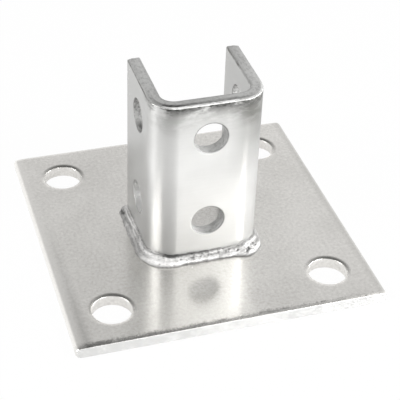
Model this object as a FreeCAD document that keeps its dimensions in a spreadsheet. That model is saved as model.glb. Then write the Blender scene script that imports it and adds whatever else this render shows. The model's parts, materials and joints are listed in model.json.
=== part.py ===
"""Strut post base: a square floor plate with a U-shaped socket welded upright on it.

The socket is one strip of the same plate bent to a U. Its web faces the front (-Y), its two
flanges run back and its open side faces the back (+Y). A length of strut channel drops in from
above, and bolts through the web or the flanges hold it. One fillet weld runs round the outside
of the U's foot. Lengths are in millimetres. The origin is the middle of the plate's underside,
with +Z up.
"""
import FreeCAD, Part
import math
import os

import Sketcher

SIZES = [
    ("plate_width", 152.4, "floor plate, left to right"),
    ("plate_length", 152.4, "floor plate, front to back"),
    ("plate_thick", 6.35, "floor plate thickness"),
    ("mill_round", 2.4, "rolled rounding of the bar's two long edges"),
    ("shear_break", 0.4, "broken edge of the plate's two sheared ends"),
    ("anchor_hole", 19.05, "anchor hole diameter"),
    ("anchor_edge", 22.225, "anchor holes, centre to the plate's edges"),
    ("strut_width", 41.275, "strut held in the socket, left to right"),
    ("strut_depth", 41.275, "strut held in the socket, front to back"),
    ("strut_clearance", 1.5875, "total side clearance round the strut"),
    ("post_forward", 1.2, "strut axis, forward of the plate's middle"),
    ("post_height", 88.9, "socket height above the plate"),
    ("post_wall", 6.35, "socket wall thickness"),
    ("bend_inner", 3.175, "inside radius of the two bends"),
    ("edge_round", 1.2, "rounding of the socket's cut edges"),
    ("bolt_hole", 15.875, "strut bolt hole diameter"),
    ("bolt_top", 19.05, "upper bolt holes, below the socket's top"),
    ("bolt_pitch", 47.625, "upper to lower bolt holes"),
    ("rim_break", 0.4, "broken edge of the hole rims"),
    ("weld_crown", 0.7, "how far the weld's face bulges"),
    ("weld_past", 2.0, "weld's rounded ends, past the flange ends"),
    ("weld_end_out", 5.4, "weld near the flange ends, leg on the plate"),
    ("weld_end_up", 4.0, "weld near the flange ends, leg on the wall"),
    ("weld_side_out", 6.6, "weld halfway along a flange, leg on the plate"),
    ("weld_side_up", 4.8, "weld halfway along a flange, leg on the wall"),
    ("weld_bend_out", 4.8, "weld round a bend, leg on the plate"),
    ("weld_bend_up", 5.2, "weld round a bend, leg on the wall"),
    ("weld_web_out", 4.2, "weld at the middle of the web, leg on the plate"),
    ("weld_web_up", 3.2, "weld at the middle of the web, leg on the wall"),
]

doc = FreeCAD.newDocument("strut_post_base")
sheet = doc.addObject("Spreadsheet::Sheet", "sizes")
for row, (alias, number, meaning) in enumerate(SIZES, start=1):
    sheet.set(f"A{row}", meaning)
    sheet.set(f"B{row}", str(number))
    sheet.setAlias(f"B{row}", alias)
doc.recompute()

# Distances that several sketches share, as expressions on the sheet. The socket's own origin is
# the strut's axis on the plate's top face.
OUTER_HALF = "((sizes.strut_width + sizes.strut_clearance) / 2 + sizes.post_wall)"
FLANGE_END = "(sizes.strut_depth / 2)"
OUTER_BEND = "(sizes.bend_inner + sizes.post_wall)"
BEND_ACROSS = f"({OUTER_HALF} - {OUTER_BEND})"
BEND_FORWARD = "(sizes.strut_depth / 2 - sizes.bend_inner)"
WELD_END = f"({FLANGE_END} + sizes.weld_past - sizes.weld_end_out)"
LOWER_BOLT = "(sizes.post_height - sizes.bolt_top - sizes.bolt_pitch)"

# Two places closer than this are the same place.
TOUCH = 1e-6


def measure(expression):
    """The number that an expression on the sheet gives."""
    return float(doc.sizes.evalExpression(expression))


def new_body(name):
    """An empty sub-part, whose label names its file."""
    body = doc.addObject("PartDesign::Body", name)
    body.Label = name
    return body


def origin_part(body, role):
    """One of the body's own origin planes or axes."""
    return next(item for item in body.Origin.OriginFeatures if item.Role == role)


def new_sketch(body, name, plane, **offset):
    """A sketch on one of the body's origin planes, moved by expressions for x, y or z."""
    sketch = body.newObject("Sketcher::SketchObject", name)
    sketch.AttachmentSupport = [(origin_part(body, plane), "")]
    sketch.MapMode = "FlatFace"
    for axis, expression in offset.items():
        sketch.setExpression(f".AttachmentOffset.Base.{axis}", expression)
    return sketch


def hold(sketch, name, kind, *where, to):
    """Give a sketch a dimension that follows an expression."""
    index = sketch.addConstraint(Sketcher.Constraint(kind, *where, measure(to)))
    sketch.renameConstraint(index, name)
    sketch.setExpression(f"Constraints.{name}", to)


def relate(sketch, kind, *where):
    """Give a sketch a constraint without a size."""
    sketch.addConstraint(Sketcher.Constraint(kind, *where))


def line(start, end):
    """A sketch line between two points."""
    return Part.LineSegment(FreeCAD.Vector(*start, 0), FreeCAD.Vector(*end, 0))


def circle(centre, radius):
    """A sketch circle."""
    return Part.Circle(FreeCAD.Vector(*centre, 0), FreeCAD.Vector(0, 0, 1), radius)


def arc(centre, radius, start, end):
    """A sketch arc, anticlockwise between two angles in degrees."""
    return Part.ArcOfCircle(circle(centre, radius), math.radians(start), math.radians(end))


def draw_loop(sketch, shapes, turned=(), smooth=True):
    """Draw lines and arcs end to end as one closed loop.

    The shapes named in turned are followed from their end to their start. In a smooth loop an
    arc runs on from its neighbours without a corner.
    """
    numbers = [sketch.addGeometry(shape, False) for shape in shapes]
    for here, there in zip(numbers, numbers[1:] + numbers[:1]):
        last = 1 if here in turned else 2
        first = 2 if there in turned else 1
        has_arc = any(isinstance(shapes[number], Part.ArcOfCircle) for number in (here, there))
        relate(sketch, "Tangent" if smooth and has_arc else "Coincident", here, last, there, first)


def dress_edges(body, kind, name, alias, wanted):
    """Fillet or chamfer the edges of the body's last feature that pass a test."""
    doc.recompute()
    base = body.Tip
    names = [f"Edge{i}" for i, edge in enumerate(base.Shape.Edges, start=1) if wanted(edge)]
    dressing = body.newObject(f"PartDesign::{kind}", name)
    dressing.Base = (base, names)
    dressing.setExpression({"Fillet": "Radius", "Chamfer": "Size"}[kind], f"sizes.{alias}")


def is_rim(edge):
    """Whether an edge is a full circle, as the rim of a hole is."""
    return isinstance(edge.Curve, Part.Circle) and edge.isClosed()


def bore(body, name, sketch, both_ways=False, reverse=False):
    """Cut a sketched hole right through a body, one way or both ways from the sketch."""
    pocket = body.newObject("PartDesign::Pocket", name)
    pocket.Profile = sketch
    pocket.Type = "ThroughAll"
    pocket.Midplane = both_ways
    pocket.Reversed = reverse
    return pocket


# Floor plate: a length of flat bar with rolled edges, sheared front and back, with four holes.
base_plate = new_body("base_plate")
half_width = measure("sizes.plate_width / 2")
thick = measure("sizes.plate_thick")
rolled = measure("sizes.mill_round")
bar = new_sketch(base_plate, "bar_section", "XZ_Plane")
draw_loop(bar, [
    line((rolled - half_width, 0), (half_width - rolled, 0)),
    arc((half_width - rolled, rolled), rolled, 270, 360),
    line((half_width, rolled), (half_width, thick - rolled)),
    arc((half_width - rolled, thick - rolled), rolled, 0, 90),
    line((half_width - rolled, thick), (rolled - half_width, thick)),
    arc((rolled - half_width, thick - rolled), rolled, 90, 180),
    line((-half_width, thick - rolled), (-half_width, rolled)),
    arc((rolled - half_width, rolled), rolled, 180, 270),
])
relate(bar, "Horizontal", 4)
for upright in (2, 6):
    relate(bar, "Vertical", upright)
for corner in (3, 5, 7):
    relate(bar, "Equal", 1, corner)
relate(bar, "PointOnObject", 0, 1, -1)
relate(bar, "Symmetric", 0, 1, 0, 2, -2)
hold(bar, "width", "DistanceX", 6, 2, 2, 1, to="sizes.plate_width")
hold(bar, "thick", "DistanceY", 0, 1, 4, 2, to="sizes.plate_thick")
hold(bar, "rolled", "Radius", 1, to="sizes.mill_round")
slab = base_plate.newObject("PartDesign::Pad", "bar_length")
slab.Profile = bar
slab.Midplane = True
slab.setExpression("Length", "sizes.plate_length")

ANCHOR_ACROSS = "(sizes.plate_width / 2 - sizes.anchor_edge)"
ANCHOR_ALONG = "(sizes.plate_length / 2 - sizes.anchor_edge)"
anchors = new_sketch(base_plate, "anchor_circles", "XY_Plane")
across = measure(ANCHOR_ACROSS)
along = measure(ANCHOR_ALONG)
for middle in ((across, along), (-across, along), (-across, -along), (across, -along)):
    anchors.addGeometry(circle(middle, measure("sizes.anchor_hole / 2")), False)
for other in (1, 2, 3):
    relate(anchors, "Equal", 0, other)
relate(anchors, "Symmetric", 0, 3, 1, 3, -2)
relate(anchors, "Symmetric", 0, 3, 2, 3, -1, 1)
relate(anchors, "Symmetric", 0, 3, 3, 3, -1)
hold(anchors, "across", "DistanceX", -1, 1, 0, 3, to=ANCHOR_ACROSS)
hold(anchors, "along", "DistanceY", -1, 1, 0, 3, to=ANCHOR_ALONG)
hold(anchors, "wide", "Diameter", 0, to="sizes.anchor_hole")
bore(base_plate, "anchor_bores", anchors, both_ways=True)


def at_sheared_end(edge):
    """Whether an edge lies wholly on the plate's front or back end."""
    box = edge.BoundBox
    return box.YLength < TOUCH and abs(abs(box.YMin) - measure("sizes.plate_length / 2")) < TOUCH


dress_edges(base_plate, "Chamfer", "sheared_ends", "shear_break", at_sheared_end)
dress_edges(base_plate, "Chamfer", "anchor_rims", "rim_break", is_rim)

# Socket: a strip bent to a U, standing on the plate, with bolt holes in all three walls.
post_channel = new_body("post_channel")
post_channel.setExpression(".Placement.Base.y", "-sizes.post_forward")
post_channel.setExpression(".Placement.Base.z", "sizes.plate_thick")
outer = measure(OUTER_HALF)
inner = outer - measure("sizes.post_wall")
bend_x = measure(BEND_ACROSS)
bend_y = -measure(BEND_FORWARD)
outer_bend = measure(OUTER_BEND)
inner_bend = measure("sizes.bend_inner")
flange_end = measure(FLANGE_END)
strip = new_sketch(post_channel, "bent_strip", "XY_Plane")
draw_loop(strip, [
    line((-outer, flange_end), (-outer, bend_y)),
    arc((-bend_x, bend_y), outer_bend, 180, 270),
    line((-bend_x, bend_y - outer_bend), (bend_x, bend_y - outer_bend)),
    arc((bend_x, bend_y), outer_bend, 270, 360),
    line((outer, bend_y), (outer, flange_end)),
    line((outer, flange_end), (inner, flange_end)),
    line((inner, flange_end), (inner, bend_y)),
    arc((bend_x, bend_y), inner_bend, 270, 360),
    line((bend_x, bend_y - inner_bend), (-bend_x, bend_y - inner_bend)),
    arc((-bend_x, bend_y), inner_bend, 180, 270),
    line((-inner, bend_y), (-inner, flange_end)),
    line((-inner, flange_end), (-outer, flange_end)),
], turned=(7, 9))
for level in (2, 5, 8, 11):
    relate(strip, "Horizontal", level)
for upright in (0, 4, 6, 10):
    relate(strip, "Vertical", upright)
relate(strip, "Coincident", 1, 3, 9, 3)
relate(strip, "Coincident", 3, 3, 7, 3)
relate(strip, "Symmetric", 0, 1, 4, 2, -2)
hold(strip, "outer_width", "DistanceX", 0, 1, 4, 2, to=f"2 * {OUTER_HALF}")
hold(strip, "wall", "DistanceX", 11, 2, 11, 1, to="sizes.post_wall")
hold(strip, "inner_bend", "Radius", 9, to="sizes.bend_inner")
hold(strip, "web_face", "DistanceY", 8, 1, -1, 1, to="sizes.strut_depth / 2")
hold(strip, "flange_end", "DistanceY", -1, 1, 0, 1, to=FLANGE_END)
relate(strip, "Equal", 7, 9)
standing = post_channel.newObject("PartDesign::Pad", "strip_height")
standing.Profile = strip
standing.setExpression("Length", "sizes.post_height")


def bolt_circle(name, plane):
    """The lower bolt hole's circle on the strut's axis, seen from the front or the side."""
    sketch = new_sketch(post_channel, name, plane)
    sketch.addGeometry(circle((0, measure(LOWER_BOLT)), measure("sizes.bolt_hole / 2")), False)
    relate(sketch, "PointOnObject", 0, 3, -2)
    hold(sketch, "level", "DistanceY", -1, 1, 0, 3, to=LOWER_BOLT)
    hold(sketch, "wide", "Diameter", 0, to="sizes.bolt_hole")
    return sketch


web_bore = bore(post_channel, "web_bore", bolt_circle("web_circle", "XZ_Plane"), reverse=True)
flange_bore = bore(post_channel, "flange_bore", bolt_circle("flange_circle", "YZ_Plane"), both_ways=True)
bolts = post_channel.newObject("PartDesign::LinearPattern", "bolt_pattern")
bolts.Originals = [web_bore, flange_bore]
bolts.Direction = (origin_part(post_channel, "Z_Axis"), [""])
bolts.Occurrences = 2
bolts.setExpression("Length", "sizes.bolt_pitch")
post_channel.Tip = bolts


def is_cut_edge(edge):
    """Whether an edge lies on the strip's top edge or upright at a flange's end."""
    box = edge.BoundBox
    at_top = box.ZMin > measure("sizes.post_height + sizes.plate_thick") - TOUCH
    upright = box.XLength < TOUCH and box.YLength < TOUCH
    at_end = box.YMax > measure(f"{FLANGE_END} - sizes.post_forward") - TOUCH
    return at_top or (upright and at_end)


dress_edges(post_channel, "Fillet", "cut_edges", "edge_round", is_cut_edge)
dress_edges(post_channel, "Chamfer", "bolt_rims", "rim_break", is_rim)

# Weld: a convex fillet bead round the outside of the socket's foot, thinner along the web.
weld_bead = new_body("weld_bead")
weld_bead.setExpression(".Placement.Base.y", "-sizes.post_forward")
weld_bead.setExpression(".Placement.Base.z", "sizes.plate_thick")


def bead_section(name, plane, station, leg, hub, root):
    """A section of the bead: a leg up the wall, a leg along the plate and a bulging face.

    The sketch stands at its station across the bead's run. Its upright axis is the hub that the
    bead turns round, and the corner of wall and plate lies the root's distance outside the hub.
    """
    sketch = new_sketch(weld_bead, name, plane, x=f"-{hub}", z=station)
    across = measure(f"sizes.weld_{leg}_out")
    up = measure(f"sizes.weld_{leg}_up")
    crown = measure("sizes.weld_crown")
    corner = -measure(root)
    chord = math.hypot(across, up)
    radius = chord * chord / (8 * crown) + crown / 2
    inset = (radius - crown) / chord
    centre = (corner - across / 2 + up * inset, up / 2 - across * inset)
    start = math.degrees(math.atan2(up - centre[1], corner - centre[0]))
    end = math.degrees(math.atan2(-centre[1], corner - across - centre[0]))
    draw_loop(sketch, [
        line((corner, 0), (corner, up)),
        arc(centre, radius, start, end),
        line((corner - across, 0), (corner, 0)),
    ], smooth=False)
    relate(sketch, "Vertical", 0)
    relate(sketch, "PointOnObject", 0, 1, -1)
    relate(sketch, "Horizontal", 2)
    if corner:
        hold(sketch, "root", "DistanceX", 0, 1, -1, 1, to=root)
    else:
        relate(sketch, "PointOnObject", 0, 1, -2)
    hold(sketch, "up", "DistanceY", 0, 1, 0, 2, to=f"sizes.weld_{leg}_up")
    hold(sketch, "across", "DistanceX", 2, 1, 2, 2, to=f"sizes.weld_{leg}_out")
    square = f"(sizes.weld_{leg}_out * sizes.weld_{leg}_out + sizes.weld_{leg}_up * sizes.weld_{leg}_up)"
    hold(sketch, "face", "Radius", 1, to=f"{square} / (8 * sizes.weld_crown) + sizes.weld_crown / 2")
    return sketch


def bead_run(name, sections):
    """A stretch of bead that changes smoothly from section to section."""
    run = weld_bead.newObject("PartDesign::AdditiveLoft", name)
    run.Profile = sections[0]
    run.Sections = sections[1:]
    return run


def bead_turn(name, section, reverse):
    """A quarter turn of bead round the upright axis of its section."""
    turn = weld_bead.newObject("PartDesign::Revolution", name)
    turn.Profile = section
    turn.ReferenceAxis = (section, ["V_Axis"])
    turn.Angle = 90
    turn.Reversed = reverse
    return turn


bead_run("bead_along_web", [
    bead_section("web_left", "YZ_Plane", f"-{BEND_ACROSS}", "bend", BEND_FORWARD, OUTER_BEND),
    bead_section("web_middle", "YZ_Plane", "0", "web", BEND_FORWARD, OUTER_BEND),
    bead_section("web_right", "YZ_Plane", BEND_ACROSS, "bend", BEND_FORWARD, OUTER_BEND),
])
FLANGE_MIDDLE = f"({BEND_FORWARD} - {WELD_END}) / 2"
bend_start = bead_section("bend_start", "XZ_Plane", BEND_FORWARD, "bend", BEND_ACROSS, OUTER_BEND)
end_start = bead_section("end_start", "XZ_Plane", f"-{WELD_END}", "end", OUTER_HALF, "0")
left_bead = [
    bead_turn("bead_round_bend", bend_start, reverse=False),
    bead_run("bead_along_flange", [
        bead_section("flange_front", "XZ_Plane", BEND_FORWARD, "bend", BEND_ACROSS, OUTER_BEND),
        bead_section("flange_middle", "XZ_Plane", FLANGE_MIDDLE, "side", BEND_ACROSS, OUTER_BEND),
        bead_section("flange_back", "XZ_Plane", f"-{WELD_END}", "end", BEND_ACROSS, OUTER_BEND),
    ]),
    bead_turn("bead_end", end_start, reverse=True),
]
both_beads = weld_bead.newObject("PartDesign::Mirrored", "bead_both_sides")
both_beads.Originals = left_bead
both_beads.MirrorPlane = (origin_part(weld_bead, "YZ_Plane"), [""])
weld_bead.Tip = both_beads

doc.recompute()
for item in doc.Objects:
    if "Invalid" in item.State or "Error" in item.State:
        raise RuntimeError(f"{item.Label} did not rebuild: {item.State}")
bodies = (base_plate, post_channel, weld_bead)
for body in bodies:
    if body.Shape.isNull() or not body.Shape.isValid():
        raise RuntimeError(f"{body.Label} has no valid shape")
os.makedirs("parts", exist_ok=True)
for body in bodies:
    body.Shape.exportStep(f"parts/{body.Label}.step")
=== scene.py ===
"""Strut post base: the zinc-plated plate, bent socket and weld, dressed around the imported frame."""

import json
import math

import bmesh
import bpy
import numpy as np
from bpy.props import FloatProperty, FloatVectorProperty, PointerProperty
from mathutils import Matrix, Vector


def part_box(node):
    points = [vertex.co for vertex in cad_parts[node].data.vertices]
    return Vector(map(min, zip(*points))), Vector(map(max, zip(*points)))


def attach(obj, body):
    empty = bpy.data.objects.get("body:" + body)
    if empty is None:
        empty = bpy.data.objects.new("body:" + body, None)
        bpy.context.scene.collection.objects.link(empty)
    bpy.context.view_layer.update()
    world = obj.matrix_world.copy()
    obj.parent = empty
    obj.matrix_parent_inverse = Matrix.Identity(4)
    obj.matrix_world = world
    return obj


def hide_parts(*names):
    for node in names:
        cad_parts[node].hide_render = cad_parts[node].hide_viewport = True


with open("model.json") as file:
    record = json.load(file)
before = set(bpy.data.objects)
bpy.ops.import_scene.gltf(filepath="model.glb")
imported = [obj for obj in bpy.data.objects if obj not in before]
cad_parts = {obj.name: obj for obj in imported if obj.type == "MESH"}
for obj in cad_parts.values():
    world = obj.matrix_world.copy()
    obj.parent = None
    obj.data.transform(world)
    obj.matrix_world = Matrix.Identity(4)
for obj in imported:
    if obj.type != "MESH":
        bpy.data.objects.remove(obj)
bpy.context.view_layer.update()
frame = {"record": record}

bl_info = {
    "name": "Strut post base",
    "version": (1, 0, 0),
    "blender": (4, 5, 0),
    "location": "View3D > Sidebar > Strut base",
    "description": "Builds a zinc-plated strut post base with its plate, bent socket and weld",
    "category": "Add Mesh",
}

MILLIMETRE = 0.001
QUARTER = math.pi / 2
MOUNTS = {mount["name"]: mount for mount in frame["record"]["mounts"]}
ANCHORS = MOUNTS["anchor_holes"]["dims"]
WEB_BOLTS = MOUNTS["web_bolt_holes"]
PLATE_LOW, PLATE_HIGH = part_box("base_plate")
SOCKET_LOW, SOCKET_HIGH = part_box("post_channel")

# How finely the grids follow their curves
HOLE_SIDE_STEPS = 18
ROUND_STEPS = 8
DROP_STEPS = 6
BEND_STEPS = 18
WELD_STEP = 0.22 * MILLIMETRE
WELD_FACE_STEPS = 26
BEAD_STEPS = 12
FACE_SHARES = np.array([0.0, 0.3, 0.55, 0.76, 0.9, 0.97])
LAND_CLIMB = np.array([0.12, 0.5, 0.88, 1.0])
# Points in the same cell of this size are merged, and the shift keeps round numbers off the cells' borders
MERGE_STEP = 1e-6
MERGE_SHIFT = 0.37

# Punched holes: the burnished land's share of the thickness, its roughness beside torn metal, and the share
# of the break-out still to come where the flare starts
LAND_SHARE = 0.38
LAND_ROUGH = 0.42
FLARE_LEFT = 0.6
# The anchor holes' rims get painted shade on the side that lies this way, and a little all round
DARK_RIM = np.array((0.4, 0.92))
DARK_RIM_LEAST = 0.3

# The weld's ends and toes: length of the fade, share left at the tips, a toe's share of the face, which takes
# painted shade, sunk depth
WELD_FADE = 2.6 * MILLIMETRE
WELD_TIP = 0.05
WELD_TOE = 0.14
WELD_SUNK = 0.08 * MILLIMETRE
# The weld's stop, by its share of the bend's radius in from the socket's right side, and its lump's length
STOP_SHARE = 0.62
LUMP_LENGTH = 3.6 * MILLIMETRE
# Sines along the weld, each by its height, its pitch in millimetres and its start
LEG_WAVES = ((0.6, 8.3, 0.4), (0.4, 3.7, 1.9))
RISE_WAVES = ((0.6, 6.9, 2.3), (0.4, 3.1, 0.7))
BEAT_WAVES = ((0.3, 11.0, 1.0), (0.2, 4.3, 0.0))
RIDGE_WAVES = ((0.9, 19.0, 0.0),)
RIDGE_TURNS = 3
RIPPLE_TRAIL = 1.2
# Spots drawn on the weld: count, middle and spread along it in millimetres, and share of its face covered.
# Pits and knobs lie about the stop, grains and dots about the web's middle.
SPOT_SEED = 11
PITS = (12, 0.0, 2.4, 1.0)
KNOBS = (14, 0.0, 3.2, 1.0)
GRAINS = (400, -10.0, 30.0, 1.0)
DOTS = (40, 2.0, 11.0, 0.4)
SPOT_ASIDE = (0.2, 0.8)
SPOT_RADIUS = (0.25, 0.6)
# Dark places on the weld, painted as shade, by middle and width, along it in millimetres and then across its
# face.
# The crater is measured from the left end, and the knot from the left end of the web's flat.
CRATER = ((5.0, 2.2), (0.62, 0.17))
KNOT = ((-3.2, 1.6), (0.0, 0.2))
GROOVE = (0.5, 0.1)
# Spatter beside the weld: length along its root, distance out from the wall and radius, in millimetres
SPATTER = np.array([(33.0, 6.3, 0.45), (29.5, 7.4, 0.3), (24.0, 6.6, 0.28), (37.0, 6.0, 0.35),
                    (12.0, 7.2, 0.25), (-9.0, 6.4, 0.25), (-29.0, 7.6, 0.35), (-52.0, 8.6, 0.3)])
BEAD_FLATNESS = 0.8


def band(start, full):
    """Two distances, given in millimetres, at which a finish starts and is full."""
    return np.array((start, full)) * MILLIMETRE


# Bands in from the plate's edges: scuffs along the front, painted shade on the faces beside the rolled sides,
# and a painted highlight on the left rolled edge
SCUFFED_FRONT = band(5.5, 1.2)
LEFT_EDGE_SHADE = band(8.5, 4.0)
RIGHT_EDGE_SHADE = band(6.0, 2.5)
LEFT_EDGE_HIGHLIGHT = band(3.0, 1.8)
# Bands of painted shade below the socket's top, and above its foot
SHADE_BORDER = band(5.5, 1.6)
SHADE_HALO = band(18.0, 4.0)
GREY_BELOW = band(26.0, 4.0)
BEND_SHADE_BELOW = band(46.0, 22.0)
FOOT_SHADE = band(4.0, 26.0)
FLANGE_SHADE = band(6.0, 34.0)
# Bands along the strip from the web's middle: painted shade on the right bend, and the left end of the lip's
# painted highlight
BEND_SHADE = band(8.0, 21.0)
LIP_LEFT_END = band(19.0, 28.0)
# The web's share of the way from the socket's axis to its front, where the web's own marks, mostly painted
# shade and highlight, start and are full
WEB_FRONT = np.array((0.35, 0.65))
# Blackest place of the painted dark reflection in the seam behind that lip, along the strip, and how far it
# reaches
SEAM_BLACK = -18.5 * MILLIMETRE
SEAM_BLACK_REACH = 8.0 * MILLIMETRE
# Share of the land that takes the lip's painted highlight
LIP_HIGHLIGHT_SHARE = 0.3
# Spots of painted shade under the socket's top edge: length along the strip from the web's middle, depth
# below the top, reach
SHADE_SPOTS = np.array([(-15.5, 3.0, 8.0), (-20.0, 11.0, 8.0), (5.0, 2.5, 8.5), (17.0, 8.0, 9.0)]) * MILLIMETRE

# Noise by clouds a metre, detail, roughness and, where it is drawn out, how it is stretched
MOTTLE = (640.0, 4.0, 0.7)
FLECKS = (950.0, 4.0, 0.75)
SCUFFS = (130.0, 3.0, 0.6)
SPANGLE = (1100.0, 2.0, 0.6)
SLOW_WAVES = (30.0, 1.0)
SHADE_PATCHES = (240.0, 5.0, 0.7, (0.45, 1.0, 1.0))
CUT_SPECKS = (800.0, 4.0, 0.75, (0.5, 1.0, 1.0))
WELD_SPECKS = (1300.0, 3.0, 0.7, (0.6, 1.0, 1.0))
ZINC_METAL = 0.85
WELD_METAL = 0.3

# Lamps by place, width, height and power, all turned to one aim
LAMP_AIM = Vector((0.0, 0.0, 0.05))
LAMPS = {
    "key lamp": ((0.59, -0.70, 0.74), 0.3, 0.26, 4.2),
    "front lamp": ((0.37, -0.84, 0.74), 0.3, 0.26, 0.75),
    "low lamp": ((0.34, -1.10, 0.15), 0.42, 0.16, 4.7),
    "side lamp": ((-0.89, -0.19, 0.76), 0.7, 0.26, 4.9),
    "right lamp": ((1.06, -0.46, 0.10), 1.6, 0.16, 19.0),
    "low side lamp": ((-1.15, 0.0, 0.11), 0.45, 0.16, 6.3),
}
FLOOR_HALF = 3.0
FLOOR_GAP = 0.2 * MILLIMETRE
# Height at which the sky starts to turn grey and is full grey, and how far its left side is ahead
OVERHEAD = (0.38, 0.98)
OVERHEAD_LEAN = 0.2
WHITE = (1.0, 1.0, 1.0, 1.0)


def length(name, description, default):
    """A length in metres that a user can change."""
    return FloatProperty(name=name, description=description, default=default, unit="LENGTH", precision=5)


def small(name, description, millimetres):
    """A length that a user can change, with its default given in millimetres."""
    return length(name, description, millimetres * MILLIMETRE)


def share(name, description, default):
    """A plain number from 0 to 1 that a user can change."""
    return FloatProperty(name=name, description=description, default=default, min=0.0, max=1.0,
                         subtype="FACTOR")


def angle(name, description, degrees):
    """An angle that a user can change, with its default given in degrees."""
    return FloatProperty(name=name, description=description, default=math.radians(degrees), subtype="ANGLE")


def colour(name, description, default):
    """A linear colour that a user can change."""
    return FloatVectorProperty(name=name, description=description, default=default, size=3, min=0.0, max=1.0,
                               subtype="COLOR")


class PlateSizes(bpy.types.PropertyGroup):
    """Sizes of the floor plate."""

    width: length("Width", "Plate from left to right", PLATE_HIGH.x - PLATE_LOW.x)
    depth: length("Depth", "Plate from front to back", PLATE_HIGH.y - PLATE_LOW.y)
    thickness: length("Thickness", "Thickness of the flat bar", PLATE_HIGH.z - PLATE_LOW.z)
    rolled_edge: small("Rolled edge", "Radius of the mill-rolled left and right edges", 2.4)
    edge_reach: small("Edge reach", "Width over which the faces drop towards the rolled edges", 5.0)
    edge_drop: small("Edge drop", "Drop of the faces before the rolled edges", 0.18)
    sheared_edge: small("Sheared edge", "Drop of the rolled-over front and back edges", 0.6)
    roll_over: small("Roll-over", "Width of the rolled-over edges and hole rims", 2.2)
    hole_radius: small("Hole radius", "Radius of the anchor holes", ANCHORS["hole_r_mm"])
    hole_across: small("Holes across", "Anchor hole spacing from left to right", ANCHORS["spacing_x_mm"])
    hole_along: small("Holes along", "Anchor hole spacing from front to back", ANCHORS["spacing_y_mm"])
    hole_rim: small("Hole rim", "Drop of the rolled-over rims of the holes", 0.75)
    break_out: small("Break-out", "How much wider the punch left the holes underneath", 0.2)


class SocketSizes(bpy.types.PropertyGroup):
    """Sizes of the bent socket."""

    width: length("Width", "Socket from left to right, outside", SOCKET_HIGH.x - SOCKET_LOW.x)
    front: length("Front", "Place of the web's outer face", SOCKET_LOW.y)
    back: length("Back", "Place of the flange ends", SOCKET_HIGH.y)
    foot: length("Foot", "Height of the socket's foot", SOCKET_LOW.z)
    top: length("Top", "Height of the socket's top", SOCKET_HIGH.z)
    wall: small("Wall", "Thickness of the bent strip", 6.35)
    bend: small("Bend", "Outer radius of both bends", 12.7)
    cut_edge: small("Cut edge", "Drop of the rounded edges at the top and the flange ends", 0.95)
    outer_lip: small("Outer lip", "Width of those rounded edges on the outer side", 0.6)
    inner_lip: small("Inner lip", "Width of those rounded edges on the inner side", 0.9)
    land: small("Land", "Width of the sloping land between the outer lip and the flat of the cut", 1.7)
    land_drop: small("Land drop", "Drop of that land towards the outer lip", 0.35)
    hole_radius: small("Hole radius", "Radius of the bolt holes", WEB_BOLTS["dims"]["hole_r_mm"])
    hole_pitch: small("Hole pitch", "Upper bolt hole above the lower one", WEB_BOLTS["dims"]["spacing_y_mm"])
    hole_middle: length("Hole middle", "Height half way between the bolt holes", WEB_BOLTS["pos_m"][2])
    flange_axis: length("Flange axis", "Place of the flange holes from front to back",
                        MOUNTS["left_flange_bolt_holes"]["pos_m"][1])
    hole_rim: small("Hole rim", "Drop of the rolled-over rims of the bolt holes", 0.45)
    roll_over: small("Roll-over", "Width of the rolled-over rims of the bolt holes", 0.8)
    break_out: small("Break-out", "How much wider the punch left the holes inside", 0.2)


class WeldSizes(bpy.types.PropertyGroup):
    """Sizes of the fillet weld round the socket's foot."""

    web_leg: small("Web leg", "Leg on the plate in front of the web", 4.0)
    web_rise: small("Web rise", "Leg up the web", 3.8)
    bend_leg: small("Bend leg", "Leg on the plate at the bends", 5.6)
    bend_rise: small("Bend rise", "Leg up the bends", 4.6)
    side_leg: small("Side leg", "Leg on the plate beside the flanges", 5.2)
    side_rise: small("Side rise", "Leg up the flanges", 2.7)
    end_leg: small("End leg", "Leg on the plate near the flange ends", 4.9)
    end_rise: small("End rise", "Leg up the flanges near their ends", 2.4)
    right_share: share("Right share", "Legs beside the right flange as a share of the left ones", 0.5)
    crown: small("Crown", "How far the bead's face bulges", 0.65)
    wander: small("Wander", "How far the toes wander along the run", 0.24)
    ripple_pitch: small("Ripple pitch", "Distance between ripples", 2.3)
    ripple_height: small("Ripple height", "Height of the ripples", 0.006)
    grain: small("Grain", "Height of the grains all over the bead", 0.18)
    ridge: small("Ridge", "Height of the ridges that run along the bead", 0.18)
    lump: small("Lump", "Extra metal where the run was stopped at the right bend", 1.3)
    knob: small("Knob", "Height of the knobs on that lump", 0.35)
    pit: small("Pit", "Depth of the pits in that lump", 0.7)
    crater: small("Crater", "Depth of the crater at the run's left end", 1.1)


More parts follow.
